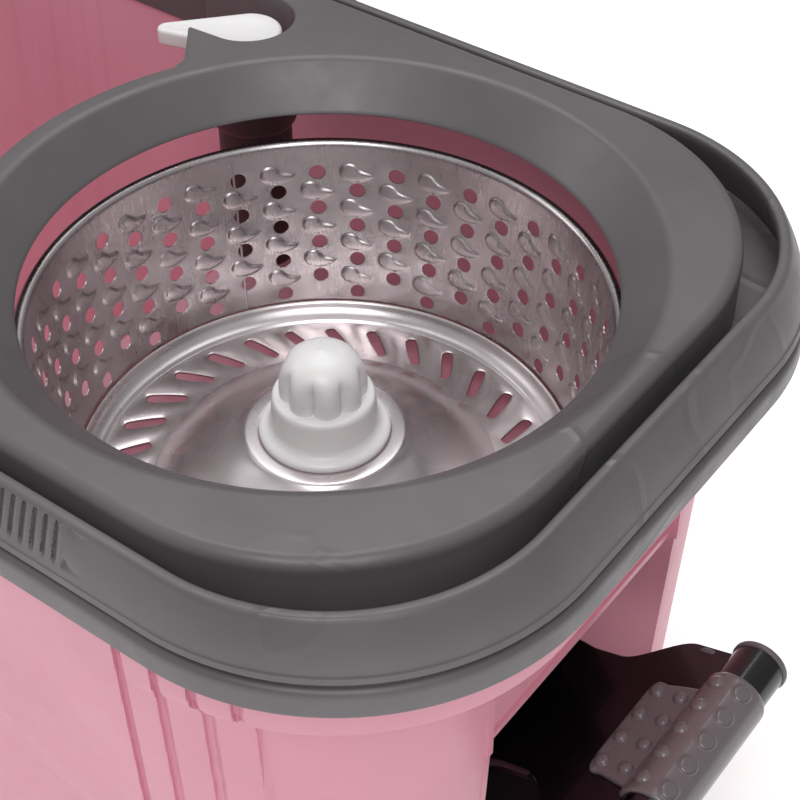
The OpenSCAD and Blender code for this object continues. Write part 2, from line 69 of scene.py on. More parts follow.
MID_X = (PIN_LO.x + PIN_HI.x) / 2
WASH_L = MID_X - BAND_LO.x
SPIN_L = BAND_HI.x - MID_X
HALF_W = (BAND_HI.y - BAND_LO.y) / 2
AXIS_X = (BASKET_LO.x + BASKET_HI.x) / 2
BEAD_Z = BASKET_HI.z
PLATE_Z = COLLAR_HI.z
BAND_LOW = BEAD_Z - 9
BAND_HIGH = BAND_HI.z
FLOOR_Z = BEAD_Z - 74.8
FLANGE_Z = HUB_LO.z + 1
WELL_FLOOR = BEAD_Z - 86
BUCKET_LOW = SHELL_LO.z
BUCKET_TOP = SHELL_HI.z
RIM_INSET = 5.6
WALL = 3
DRAFT = math.tan(math.radians(2))
END_STEP = 19
OVERLAP = 2.2
SHOULDER_LOW = BEAD_Z - 34
SHOULDER_HIGH = BEAD_Z - 24
RECESS_HALF = 57
RECESS_TOP = BEAD_Z - 40
STEP_BACK = 115
WELL_FRONT = 104
CREST_R = 111
OPENING_R = 96.8
RING_R = 119.8
COLLAR_BACK = AXIS_X - COLLAR_LO.x
PLATE_IN_X = 19.8
PLATE_IN_Y = 15.8
PLATE_CORNER = 82.5
WINDOW_HALF = 74.5
FIN_REACH = 122
PUMP_U = (STEM_LO.x + STEM_HI.x) / 2 - AXIS_X
PUMP_Y = (STEM_LO.y + STEM_HI.y) / 2
BAY_R = 17.5
BAR_X = (BAR_LO.x + BAR_HI.x) / 2
BAR_Z = (BAR_LO.z + BAR_HI.z) / 2
PEDAL_SLOPE = math.radians(17)
BAR_R = 9.6
BAR_PAD_R = 11.2
BAR_HALF = 47.6
PIVOT_X = (PIVOT_LO.x + PIVOT_HI.x) / 2
PIVOT_Z = (PIVOT_LO.z + PIVOT_HI.z) / 2


def smooth(value, low, high):
    """0 below low, 1 above high and a soft step between them."""
    t = max(0.0, min(1.0, (value - low) / (high - low)))
    return t * t * (3 - 2 * t)


def mix(a, b, t):
    return a + (b - a) * t


# ---- materials ----
def linear(r, g, b):
    """Scene colour for an sRGB colour given from 0 to 255."""
    made = []
    for value in (r, g, b):
        c = value / 255
        made.append(c / 12.92 if c <= 0.04045 else ((c + 0.055) / 1.055) ** 2.4)
    return (*made, 1)


class Shader:
    """A node material whose patterns are laid out in metres in the piece's own space."""

    def __init__(self, name, **constants):
        self.material = bpy.data.materials.new(name)
        self.material.use_nodes = True
        self.tree = self.material.node_tree
        self.main = self.tree.nodes["Principled BSDF"]
        self.place = self.add("ShaderNodeTexCoord").outputs["Object"]
        for key, value in constants.items():
            self.put(self.main, key.replace("_", " "), value)

    def add(self, kind, **inputs):
        made = self.tree.nodes.new(kind)
        for key, value in inputs.items():
            self.put(made, key.replace("_", " "), value)
        return made

    def put(self, made, key, value):
        if isinstance(value, bpy.types.NodeSocket):
            self.tree.links.new(value, made.inputs[key])
        else:
            made.inputs[key].default_value = value

    def stretched(self, scale, origin=(0, 0, 0)):
        made = self.add("ShaderNodeMapping", Vector=self.place, Scale=scale)
        made.inputs["Location"].default_value = [-o * s for o, s in zip(origin, scale)]
        return made.outputs["Vector"]

    def noise(self, scale, detail=3.0, place=None, rough=0.5):
        made = self.add("ShaderNodeTexNoise", Vector=place or self.place, Scale=scale, Detail=detail)
        made.inputs["Roughness"].default_value = rough
        return made.outputs["Fac"]

    def spread(self, value, low, high, start=0.3, stop=0.7):
        made = self.add("ShaderNodeMapRange", Value=value)
        for key, number in (("From Min", start), ("From Max", stop), ("To Min", low), ("To Max", high)):
            made.inputs[key].default_value = number
        return made.outputs["Result"]

    def colours(self, value, dark, light, start=0.3, stop=0.7):
        made = self.tree.nodes.new("ShaderNodeValToRGB")
        self.tree.links.new(value, made.inputs["Fac"])
        for stop_made, place, colour in zip(made.color_ramp.elements, (start, stop), (dark, light)):
            stop_made.position = place
            stop_made.color = colour
        return made.outputs["Color"]

    def math(self, kind, a, b=None):
        made = self.tree.nodes.new("ShaderNodeMath")
        made.operation = kind
        self.put(made, 0, a)
        if b is not None:
            self.put(made, 1, b)
        return made.outputs["Value"]

    def relief(self, height, depth, under=None):
        made = self.add("ShaderNodeBump", Height=height, Distance=depth)
        if under is not None:
            self.tree.links.new(under, made.inputs["Normal"])
        return made.outputs["Normal"]

    def finish(self, **sockets):
        for key, value in sockets.items():
            self.put(self.main, key.replace("_", " "), value)
        return self.material


def moulded(name, dark, light, rough, grain=0.00002, wave=0.0002, **constants):
    """Injection-moulded plastic: slow colour drift, a fine grain, faint sink and scuff marks."""
    made = Shader(name, **constants)
    drift = made.noise(14, 2)
    fine = made.noise(1500, 2)
    scuff = made.noise(90, 6, made.stretched((1, 0.35, 1)), 0.7)
    normal = made.relief(fine, grain)
    normal = made.relief(made.noise(22, 2), wave, normal)
    return made.finish(
        Base_Color=made.colours(drift, linear(*dark), linear(*light)),
        Roughness=made.spread(scuff, rough - 0.05, rough + 0.07),
        Normal=normal,
    )


def flow_marked(name, dark, light, rough):
    """Grey plastic with the thin curved flow marks of a thick moulding."""
    made = Shader(name, Specular_IOR_Level=0.5)
    warp = made.noise(18, 3)
    cells = made.tree.nodes.new("ShaderNodeTexVoronoi")
    cells.feature = "DISTANCE_TO_EDGE"
    cells.inputs["Scale"].default_value = 26
    moved = made.tree.nodes.new("ShaderNodeVectorMath")
    moved.operation = "MULTIPLY_ADD"
    made.put(moved, 0, made.add("ShaderNodeTexNoise", Vector=made.place, Scale=20).outputs["Color"])
    made.put(moved, 1, (0.03, 0.03, 0.03))
    made.put(moved, 2, made.place)
    made.put(cells, "Vector", moved.outputs["Vector"])
    line = made.spread(cells.outputs["Distance"], 1, 0, 0, 0.06)
    patchy = made.math("MULTIPLY", line, made.spread(made.noise(11, 1), 0, 1, 0.5, 0.62))
    normal = made.relief(made.noise(1500, 2), 0.00002)
    normal = made.relief(patchy, 0.0003, normal)
    return made.finish(
        Base_Color=made.colours(warp, linear(*dark), linear(*light)),
        Roughness=made.spread(made.noise(90, 6), rough - 0.05, rough + 0.08),
        Normal=normal,
    )


def brushed(name, dark, light, rough, line_scale, line_depth, **constants):
    """Steel with fine draw lines along one direction and a slow change of polish."""
    made = Shader(name, Metallic=1.0, **constants)
    lines = made.noise(1, 4, made.stretched(line_scale), 0.65)
    smudge = made.noise(30, 4)
    normal = made.relief(lines, line_depth)
    normal = made.relief(made.noise(45, 2), 0.00008, normal)
    return made.finish(
        Base_Color=made.colours(smudge, linear(*dark), linear(*light)),
        Roughness=made.spread(made.math("MULTIPLY", lines, smudge), rough - 0.06, rough + 0.12, 0.1, 0.45),
        Normal=normal,
    )


def turned(name, dark, light, rough, centre, depth, **constants):
    """Steel spun or pressed round an upright axis, with fine rings round centre."""
    made = Shader(name, Metallic=1.0, **constants)
    flat = made.stretched((1, 1, 0), (centre[0], centre[1], 0))
    length = made.tree.nodes.new("ShaderNodeVectorMath")
    length.operation = "LENGTH"
    made.put(length, 0, flat)
    rings = made.tree.nodes.new("ShaderNodeTexNoise")
    rings.noise_dimensions = "1D"
    made.put(rings, "W", made.math("MULTIPLY", length.outputs["Value"], 1600.0))
    rings.inputs["Scale"].default_value = 1
    smudge = made.noise(26, 4)
    normal = made.relief(rings.outputs["Fac"], depth)
    normal = made.relief(made.noise(30, 2), 0.0001, normal)
    return made.finish(
        Base_Color=made.colours(smudge, linear(*dark), linear(*light)),
        Roughness=made.spread(smudge, rough - 0.05, rough + 0.1),
        Normal=normal,
    )


AXIS = (AXIS_X * MM, 0, 0)
LOOKS = {
    # pink_plastic also glows faintly in its own pink (emission 0.12): painted light that brightens its shaded inside
    # walls
    "pink_plastic": moulded("pink_plastic", (200, 137, 152), (207, 144, 159), 0.38,
        Specular_IOR_Level=0.4, Emission_Color=linear(212, 140, 158), Emission_Strength=0.12),
    "grey_plastic": flow_marked("grey_plastic", (93, 89, 91), (101, 97, 99), 0.38),
    "black_plastic": moulded("black_plastic", (9, 6, 8), (14, 10, 12), 0.2, wave=0.0001, Coat_Weight=0.3),
    "dark_plastic": moulded("dark_plastic", (16, 12, 14), (24, 20, 22), 0.42),
    "white_plastic": moulded("white_plastic", (228, 226, 226), (236, 234, 234), 0.3,
        Subsurface_Weight=0.25, Subsurface_Radius=(0.004, 0.003, 0.003)),
    "gear_plastic": moulded("gear_plastic", (205, 202, 192), (222, 219, 210), 0.38),
    "basket_steel": brushed("basket_steel", (192, 184, 186), (212, 204, 206), 0.28,
        (900, 900, 22), 0.000004),
    "hardware_steel": brushed("hardware_steel", (168, 170, 173), (200, 202, 204), 0.26,
        (400, 1600, 400), 0.00002),
    "bronze": brushed("bronze", (168, 128, 74), (196, 156, 98), 0.3, (800, 200, 800), 0.00002),
    "pad_rubber": moulded("pad_rubber", (98, 90, 93), (112, 104, 106), 0.28, grain=0.00004,
        Coat_Weight=0.3),
    "dark_rubber": moulded("dark_rubber", (26, 24, 25), (40, 38, 39), 0.6, grain=0.00006),
}
FLOOR_STEEL = turned("floor_steel", (200, 192, 194), (220, 212, 214), 0.27, AXIS, 0.000006)
# The bottle's dark plastic is coloured a brownish pink: painted shade under the collar with a painted pink reflection
# from the bucket
BOTTLE_PAINTED_SHADE = moulded("bottle_plastic", (60, 50, 54), (74, 63, 67), 0.4)


# ---- mesh helpers ----
class Form:
    """Points in millimetres and faces, gathered before they become a mesh."""

    def __init__(self):
        self.points = []
        self.faces = []

    def row(self, points):
        start = len(self.points)
        self.points.extend(points)
        return list(range(start, len(self.points)))

    def strip(self, a, b, closed=True):
        count = len(a)
        for i in range(count if closed else count - 1):
            j = (i + 1) % count
            self.faces.append((a[i], a[j], b[j], b[i]))

    def loft(self, rows, closed=True, round_again=False):
        """Joins rows of points one after another, and the last to the first if asked."""
        made = [self.row(points) for points in rows]
        for a, b in zip(made, made[1:]):
            self.strip(a, b, closed)
        if round_again:
            self.strip(made[-1], made[0], closed)
        return made

    def cap(self, row):
        self.faces.append(tuple(row))

    def fan(self, row, point):
        centre = self.row([point])[0]
        for i, a in enumerate(row):
            self.faces.append((a, row[(i + 1) % len(row)], centre))


def solid(rows, form=None):
    """A closed body through rows of points, capped at both ends."""
    made = form or Form()
    ends = made.loft(rows)
    made.cap(ends[0][::-1])
    made.cap(ends[-1])
    return made


def turn(r, count, start=0.0):
    """Points round a circle, as (cosine, sine) times its radius."""
    return [(r * math.cos(start + TAU * i / count), r * math.sin(start + TAU * i / count)) for i in range(count)]


def circle(r, z, count, start=0.0, centre=(AXIS_X, 0)):
    """Points round an upright axis at height z."""
    return [(centre[0] + x, centre[1] + y, z) for x, y in turn(r, count, start)]


def revolved(profile, count, centre=(AXIS_X, 0)):
    """Turns (radius, z) points round an upright axis."""
    made = Form()
    made.loft([circle(r, z, count, 0, centre) for r, z in profile])
    return made


def make(name, form, body, slot, replaces=(), look=None, angle=38, weld=0.0, fills=(), thickness=None,
         bevel=None):
    """Turns a form into a piece that rides on a body and stands for CAD nodes."""
    mesh = bpy.data.meshes.new(name)
    mesh.from_pydata([Vector(p) * MM for p in form.points], [], form.faces)
    work = bmesh.new()
    work.from_mesh(mesh)
    work.verts.ensure_lookup_table()
    for outer, inner in fills:
        edges = []
        for loop in (outer, inner):
            for i, a in enumerate(loop):
                pair = (work.verts[a], work.verts[loop[(i + 1) % len(loop)]])
                edges.append(work.edges.get(pair) or work.edges.new(pair))
        bmesh.ops.triangle_fill(work, edges=edges, use_beauty=True)
    if weld:
        bmesh.ops.remove_doubles(work, verts=work.verts, dist=weld * MM)
    bmesh.ops.recalc_face_normals(work, faces=work.faces)
    work.to_mesh(mesh)
    work.free()
    mesh.shade_smooth()
    if bevel is None:
        mesh.set_sharp_from_angle(angle=math.radians(angle))
    piece = bpy.data.objects.new(name, mesh)
    bpy.context.scene.collection.objects.link(piece)
    mesh.materials.append(look or LOOKS[slot])
    if thickness is not None:
        sheet = piece.modifiers.new("sheet", "SOLIDIFY")
        sheet.thickness = abs(thickness) * MM
        sheet.offset = 1 if thickness > 0 else -1
        sheet.use_even_offset = False
    if bevel is not None:
        edge = piece.modifiers.new("edge", "BEVEL")
        edge.width = bevel * MM
        edge.segments = 3
        edge.limit_method = "ANGLE"
        edge.angle_limit = math.radians(40)
        edge.harden_normals = True
    if thickness is None and bevel is None:
        weights = piece.modifiers.new("weights", "WEIGHTED_NORMAL")
        weights.keep_sharp = True
    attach(piece, body)
    if replaces:
        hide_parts(*replaces)
    return piece


def block(lo, hi):
    """A box between two corners, with u counted from the basket axis."""
    return solid([[(AXIS_X + u, y, z) for u, y in ((lo[0], lo[1]), (hi[0], lo[1]), (hi[0], hi[1]), (lo[0], hi[1]))]
                  for z in (lo[2], hi[2])])


def scratch(form, name):
    """An unlinked helper object for cutting or joining."""
    mesh = bpy.data.meshes.new(name)
    mesh.from_pydata([Vector(p) * MM for p in form.points], [], form.faces)
    work = bmesh.new()
    work.from_mesh(mesh)
    bmesh.ops.recalc_face_normals(work, faces=work.faces)
    work.to_mesh(mesh)
    work.free()
    made = bpy.data.objects.new(name, mesh)
    bpy.context.scene.collection.objects.link(made)
    return made


def carve(piece, forms, operation="DIFFERENCE"):
    """Cuts forms out of a piece, or joins them to it, and keeps the result as its mesh."""
    helpers = []
    for number, form in enumerate(forms):
        helper = scratch(form, f"{piece.name}_helper_{number}")
        helpers.append(helper)
        step = piece.modifiers.new("carve", "BOOLEAN")
        step.operation = operation
        step.object = helper
        step.solver = "EXACT"
    bpy.context.view_layer.update()
    seen = piece.evaluated_get(bpy.context.evaluated_depsgraph_get())
    mesh = bpy.data.meshes.new_from_object(seen)
    piece.modifiers.clear()
    piece.data = mesh
    for helper in helpers:
        bpy.data.objects.remove(helper)
    return piece


# ---- the bucket's plan ----
def plan_point(phi, inset_x, inset_y, z, corner=0.0, back=0.0):
    """Where a ray at angle phi from the bucket's middle meets its rounded oblong plan."""
    radius = corner or CORNER_R - (inset_x + inset_y) / 2
    half_l = (SPIN_L - back if math.cos(phi) > 0 else WASH_L) - inset_x
    half_w = HALF_W - inset_y
    dx, dy = abs(math.cos(phi)), abs(math.sin(phi))
    cx, cy = half_l - radius, half_w - radius
    if dx * cy >= dy * half_l:
        r = half_l / dx
    elif dy * cx >= dx * half_w:
        r = half_w / dy
    else:
        along = dx * cx + dy * cy
        r = along + math.sqrt(along ** 2 - cx ** 2 - cy ** 2 + radius ** 2)
    return (MID_X + r * math.cos(phi), r * math.sin(phi), z)


def even_angles(count, start=0.0, stop=TAU):
    """Angles that share out the rim's length evenly between start and stop."""
    fine = 2000
    angles = [mix(start, stop, i / fine) for i in range(fine + 1)]
    points = [Vector(plan_point(a, 0, 0, 0)) for a in angles]
    lengths = [0.0]
    for a, b in zip(points, points[1:]):
        lengths.append(lengths[-1] + (b - a).length)
    made = []
    at = 0
    for i in range(count):
        target = lengths[-1] * i / count
        while lengths[at + 1] < target:
            at += 1
        made.append(angles[at])
    return made


def side_angle(u, side):
    """Angle at which the near (-1) or far (1) rim stands u from the basket axis."""
    x = AXIS_X + u - MID_X
    past = max(0.0, x - (SPIN_L - CORNER_R))
    y = side * (HALF_W - CORNER_R + math.sqrt(CORNER_R ** 2 - past ** 2))
    return math.atan2(y, x) % TAU


def stations(base, extra):
    """Sorted angles, without any that nearly coincide."""
    made = []
    for phi in sorted(base + extra):
        if not made or phi - made[-1] > 0.0004:
            made.append(phi)
    return made


GROOVES = [33, 47, 61, 75]
FLUTES = [-236 - 20 * i for i in range(4)]
GROOVE_HALF = 1.5
groove_angles = [side_angle(28 + 0.55 * i, side) for i in range(112) for side in (-1, 1)]
flute_angles = [side_angle(-315 + 1.5 * i, side) for i in range(64) for side in (-1, 1)]
WALL_ANGLES = stations(even_angles(260), groove_angles + flute_angles)


def wall_inset(z):
    return RIM_INSET + (BUCKET_TOP - z) * DRAFT


def wall_point(phi, z, gap=0.0):
    """A point on the bucket's wall, drawn in by gap."""
    back = END_STEP * (1 - smooth(z, SHOULDER_LOW + gap, SHOULDER_HIGH + gap))
    if math.cos(phi) <= 0:
        back = 0
    inset = wall_inset(z) + gap
    return plan_point(phi, inset, inset, z, 0, back)


def arch_depth(u, z):
    """The shallow arched panel pressed into each long side."""
    away = ((u + 96) / 165) ** 2 + ((z - 4) / 126.6) ** 2
    return 1.8 * (1 - smooth(math.sqrt(away), 0.975, 1.01))


def outer_wall(z, tuck=0.0):
    row = []
    for phi in WALL_ANGLES:
        x, y, _ = wall_point(phi, z, tuck)
        u = x - AXIS_X
        press = 0.0
        if abs(y) > HALF_W * 0.7:
            press = arch_depth(u, z)
            for groove in GROOVES:
                press = max(press, 1.6 * (1 - smooth(abs(u - groove), GROOVE_HALF - 0.5, GROOVE_HALF + 0.4)))
        row.append(wall_point(phi, z, max(tuck, press)))
    return row


def inner_wall(z):
    row = []
    for phi in WALL_ANGLES:
        x, y, _ = wall_point(phi, z, WALL)
        rise = 0.0
        if abs(y) > HALF_W * 0.6:
            for flute in FLUTES:
                rise = max(rise, 1.2 * (1 - smooth(abs(x - AXIS_X - flute), 4, 6)))
        row.append(wall_point(phi, z, WALL + rise))
    return row


def build_bucket():
    skin = Form()
    edge = 2.6
    rows = []
    for i in range(5):
        t = math.radians(90 * i / 5)
        rows.append(outer_wall(BUCKET_LOW + edge * (1 - math.cos(t)), edge * (1 - math.sin(t))))
    steps = 58
    top = SHOULDER_LOW - 4
    rows += [outer_wall(mix(BUCKET_LOW + edge, top, i / steps)) for i in range(steps)]
    rows += [outer_wall(z) for z in (top, SHOULDER_LOW, SHOULDER_LOW + 2, SHOULDER_LOW + 4, SHOULDER_LOW + 6,
                                     SHOULDER_LOW + 8, SHOULDER_HIGH, BAND_LOW, BUCKET_TOP)]
    rows += [inner_wall(z) for z in (BUCKET_TOP, SHOULDER_HIGH + 4, SHOULDER_HIGH + WALL, SHOULDER_LOW + 9,
                                     SHOULDER_LOW + 6, SHOULDER_LOW, WELL_FLOOR + 30, WELL_FLOOR, 90, 40,
                                     BUCKET_LOW + 8, BUCKET_LOW)]
    skin.loft(rows, True, True)
    piece = make("bucket_skin", skin, "root", "pink_plastic", ("bucket_shell",))
    piece.modifiers.clear()
    corner = 3
    wide = RECESS_HALF + 1.5
    high = RECESS_TOP + 1.5 - corner
    outline = [(-wide, -20), (wide, -20)]
    for start, y, z in ((0, wide - corner, high), (90, corner - wide, high)):
        for i in range(7):
            t = math.radians(start + 15 * i)
            outline.append((y + corner * math.cos(t), z + corner * math.sin(t)))
    carve(piece, [solid([[(AXIS_X + u, y, z) for y, z in outline] for u in (60, 170)])])
    piece.data.set_sharp_from_angle(angle=math.radians(32))
    weights = piece.modifiers.new("weights", "WEIGHTED_NORMAL")
    weights.keep_sharp = True
    return piece


def inside_outline(z, low_u, high_u):
    """Outline of the space inside the wall at height z, between two places along the bucket."""
    made = []
    for phi in even_angles(220):
        x, y, _ = wall_point(phi, z, OVERLAP)
        made.append((min(max(x - AXIS_X, low_u), high_u), y))
    return made


def build_inner_walls():
    side = RECESS_HALF + WALL
    under = WELL_FLOOR - WALL
    base = solid([[(AXIS_X + u, y, z) for u, y in inside_outline(z, -STEP_BACK - WALL, 150)]
                  for z in (under, WELL_FLOOR)])
    floor = solid([[(AXIS_X + u, y, z) for u, y in inside_outline(z, -400, -STEP_BACK)]
                   for z in (BUCKET_LOW + 0.4, BUCKET_LOW + WALL + 0.5)])
    rows = []
    for z in (BUCKET_LOW + 0.4, WELL_FLOOR - 0.5):
        half = HALF_W - wall_inset(z) - OVERLAP
        rows.append([(AXIS_X - STEP_BACK - WALL, -half, z), (AXIS_X - STEP_BACK, -half, z),
                     (AXIS_X - STEP_BACK, half, z), (AXIS_X - STEP_BACK - WALL, half, z)])
    walls = [floor, solid(rows)]
    end = SPIN_L - RIM_INSET - END_STEP - (BUCKET_TOP - RECESS_TOP) * DRAFT + MID_X - AXIS_X
    for s in (-1, 1):
        lo, hi = sorted((s * RECESS_HALF, s * side))
        rows = []
        for z in (BUCKET_LOW + 1, under + 1):
            tip = end - (RECESS_TOP - z) * DRAFT
            plan = ((-STEP_BACK - 1, lo), (tip, lo), (tip, hi), (-STEP_BACK - 1, hi))
            rows.append([(AXIS_X + u, y, z) for u, y in plan])
        walls.append(solid(rows))
    walls.append(block((WELL_FRONT, -side, under), (WELL_FRONT + WALL, side, RECESS_TOP + WALL)))
    walls.append(block((WELL_FRONT + 1, -side, RECESS_TOP), (end + 0.5, side, RECESS_TOP + WALL - 0.2)))
    for s in (-1, 1):
        lo, hi = sorted((s * RECESS_HALF, s * (side - 0.2)))
        walls.append(block((WELL_FRONT + 1, lo, under + 0.5), (end - 0.8, hi, RECESS_TOP + WALL - 0.4)))
    piece = make("inner_walls", base, "root", "pink_plastic", ("bucket_shell",))
    piece.modifiers.clear()
    carve(piece, walls, "UNION")
    bore = ((0.01, under - 3), (10.2, under - 3), (10.2, WELL_FLOOR + 3), (0.01, WELL_FLOOR + 3))
    carve(piece, [revolved(bore, 48)])
    edge = piece.modifiers.new("edge", "BEVEL")
    edge.width = 0.9 * MM
    edge.segments = 2
    edge.limit_method = "ANGLE"
    edge.angle_limit = math.radians(40)
    edge.harden_normals = True
    return piece


def build_rim_band():
    angles = even_angles(300)
    profile = [(1.0, BAND_LOW), (0.35, BAND_LOW + 0.3), (0, BAND_LOW + 1.2), (0, BAND_HIGH - 3.2),
               (0.3, BAND_HIGH - 1.6), (1.1, BAND_HIGH - 0.5), (2.6, BAND_HIGH), (7.6, BAND_HIGH),
               (8.9, BAND_HIGH - 0.5), (9.2, BAND_HIGH - 2.2), (5.8, BAND_HIGH - 2.3),
               (5.7, BAND_LOW + 0.2)]
    band = Form()
    band.loft([[plan_point(phi, i, i, z) for phi in angles] for i, z in profile], True, True)
    make("rim_band", band, "root", "grey_plastic", ("rim_trim",))
    wash = [phi for phi in even_angles(300) if plan_point(phi, 9, 9, 0)[0] < AXIS_X - COLLAR_BACK - 3]
    lip = Form()
    outer = 9.2
    inner = 10.8
    low = BEAD_Z - 16
    ring = [(outer, BAND_HIGH - 0.6), (outer, low + 0.5), (outer + 0.5, low), (inner - 0.4, low), (inner, low + 0.5),
            (inner, BAND_HIGH - 1), (inner - 0.6, BAND_HIGH - 0.3)]
    rows = lip.loft([[plan_point(phi, i, i, z) for phi in wash] for i, z in ring], False, True)
    lip.cap([row[0] for row in rows])
    lip.cap([row[-1] for row in rows][::-1])
    make("rim_inner_lip", lip, "root", "grey_plastic", ("rim_trim",))


# ---- collar ----
def filleted(corners):
    """Rounds each (point, radius, edge) corner with an arc, and keeps its edge radius."""
    made = []
    count = len(corners)
    for i, (point, radius, edge) in enumerate(corners):
        if not radius:
            made.append((point, edge))
            continue
        here = Vector(point)
        before = (Vector(corners[i - 1][0]) - here).normalized()
        after = (Vector(corners[(i + 1) % count][0]) - here).normalized()
        half = before.angle(after) / 2
        reach_out = radius / math.tan(half)
        middle = here + (before + after).normalized() * (radius / math.sin(half))
        start = here + before * reach_out - middle
        stop = here + after * reach_out - middle
        turn = start.angle_signed(stop)
        steps = 8
        for k in range(steps + 1):
            a = -turn * k / steps
            made.append(((middle.x + start.x * math.cos(a) - start.y * math.sin(a),
                          middle.y + start.x * math.sin(a) + start.y * math.cos(a)), edge))
    return made


def spaced(points, step):
    """Adds points along stretches that are longer than step."""
    made = []
    for (a, edge_a), (b, edge_b) in zip(points, points[1:] + points[:1]):
        pieces = max(1, int(math.hypot(b[0] - a[0], b[1] - a[1]) / step))
        for k in range(pieces):
            t = k / pieces
            made.append(((mix(a[0], b[0], t), mix(a[1], b[1], t)), mix(edge_a, edge_b, t)))
    return made


def collar_outline():
    """The collar's plan, anticlockwise from its near back corner, as ((u, y), edge radius)."""
    soft = 4.0
    plate = []
    for phi in even_angles(360, -math.pi, math.pi):
        x, y, _ = plan_point(phi, PLATE_IN_X, PLATE_IN_Y, 0, PLATE_CORNER)
        if x - AXIS_X > 7 - COLLAR_BACK:
            plate.append(((x - AXIS_X, y), 0, soft))
    edge_y = plate[0][0][1]
    corners = [((-COLLAR_BACK, edge_y), 5, 2)] + plate + [((-COLLAR_BACK, -edge_y), 5, 2)]
    bay_far = PUMP_Y + BAY_R
    corners.append(((-COLLAR_BACK, bay_far), 2.5, 1.2))
    for i in range(25):
        t = math.radians(90 - 7.5 * i)
        corners.append(((PUMP_U + BAY_R * math.cos(t), PUMP_Y + BAY_R * math.sin(t)), 0, 1.0))
    corners.append(((-FIN_REACH, WINDOW_HALF + 0.8), 0.8, 0.7))
    corners.append(((-108, 57), 9, 2))
    start = math.degrees(math.atan2(51, -108.4))
    stop = 360 - start
    for i in range(49):
        t = math.radians(mix(start, stop, i / 48))
        corners.append(((RING_R * math.cos(t), RING_R * math.sin(t)), 0, 3))
    corners.append(((-108, -57), 9, 2))
    corners.append(((-FIN_REACH, -WINDOW_HALF), 5, 2))
    corners.append(((-COLLAR_BACK, -WINDOW_HALF), 3, 2))
    return spaced(filleted(corners), 4)


def offset(points, amounts):
    """Moves each point of a closed anticlockwise outline inwards by its own amount."""
    made = []
    count = len(points)
    for i, (u, y) in enumerate(points):
        a = points[i - 1]
        b = points[(i + 1) % count]
        du, dy = b[0] - a[0], b[1] - a[1]
        size = math.hypot(du, dy) or 1
        made.append((u - dy / size * amounts[i], y + du / size * amounts[i]))
    return made


def build_collar():
    outline = collar_outline()
    points = [p for p, _ in outline]
    edges = [e for _, e in outline]
    form = Form()

    def ring(share, z):
        inward = offset(points, [e * share for e in edges])
        return form.row([(AXIS_X + u, y, z(i)) for i, (u, y) in enumerate(inward)])

    def low_edge(i):
        u, y = points[i]
        if in_bay(u, y):
            return BEAD_Z - 2
        if math.hypot(u, y) < RING_R + 16 and u < 0 and abs(y) < WINDOW_HALF + 3:
            return BEAD_Z + 2
        if u < -FIN_REACH - 7:
            return PLATE_Z - 11
        return BAND_HIGH + 0.6

    def in_bay(u, y):
        return u < -80 and PUMP_Y - BAY_R - 1 < y < PUMP_Y + BAY_R + 1

    rows = []
    for k in range(6):
        t = math.radians(18 * k)
        rows.append(ring(1 - math.sin(t), lambda i, t=t: PLATE_Z - edges[i] * (1 - math.cos(t))))
    rows.append(ring(0, lambda i: mix(PLATE_Z - edges[i], low_edge(i) + 0.6, 0.5)))
    rows.append(ring(0, lambda i: low_edge(i) + 0.6))
    rows.append(ring(0.3, low_edge))
    rows.append(ring(0.62, low_edge))
    rows.append(ring(0.85, lambda i: low_edge(i) + 0.6))
    rows.append(ring(0.85, lambda i: PLATE_Z - 3.2))
    for a, b in zip(rows, rows[1:]):
        form.strip(a, b)
    lip = BEAD_Z + 12
    crest = CREST_R + 2.4
    bends = [math.radians(7 * k) for k in range(7)]
    profile = [(crest - 5 * math.sin(t), PLATE_Z - 5 * (1 - math.cos(t))) for t in bends]
    start_r, start_z = profile[-1]
    profile += [(mix(start_r, OPENING_R + 0.9, k / 5), mix(start_z, lip + 0.9, k / 5)) for k in range(1, 6)]
    profile += [(OPENING_R + 0.25, lip + 0.1), (OPENING_R, lip - 0.5), (OPENING_R + 0.4, lip - 1),
                (OPENING_R + 1.4, lip - 0.7), (start_r - 0.5, start_z - 3.4), (crest, PLATE_Z - 3.2)]
    inner = [form.row(circle(r, z, 200)) for r, z in profile]
    for a, b in zip(inner, inner[1:]):
        form.strip(a, b)
    make("collar_top", form, "root", "grey_plastic", ("spin_collar",), angle=50,
         fills=((rows[0], inner[0]), (rows[-1], inner[-1])))
    ledge = Form()
    angles = [phi for phi in even_angles(300, -math.pi, math.pi) if plan_point(phi, 0, 0, 0)[0] > AXIS_X - 140]
    base = BAND_HIGH + 0.1
    profile = [(8, 8, 79, base), (8, 8, 79, base + 0.9), (8.4, 8.4, 78.6, base + 1.3),
               (PLATE_IN_X + 1, PLATE_IN_Y + 1, PLATE_CORNER - 1, base + 1.3),
               (PLATE_IN_X + 1, PLATE_IN_Y + 1, PLATE_CORNER - 1, base)]
    made = ledge.loft([[plan_point(phi, a, b, z, c) for phi in angles] for a, b, c, z in profile], False, True)
    ledge.cap([row[0] for row in made])
    ledge.cap([row[-1] for row in made][::-1])
    make("collar_ledge", ledge, "root", "grey_plastic", ("spin_collar",))


# ---- carrying handle ----
RIB_PITCH = 4.2
RIB_FROM = -54
RIB_TO = 23


def rib_depth(u, level):
    """Grooves between the finger ribs on the lower outside of the handle."""
    if not RIB_FROM < u < RIB_TO:
        return 0.0
    away = abs((u - RIB_FROM) % RIB_PITCH - RIB_PITCH / 2)
    along = smooth(level, 0.3, 0.36) * (1 - smooth(level, 0.9, 0.94))
    return 1.1 * smooth(away, RIB_PITCH / 2 - 1.0, RIB_PITCH / 2 - 0.25) * along


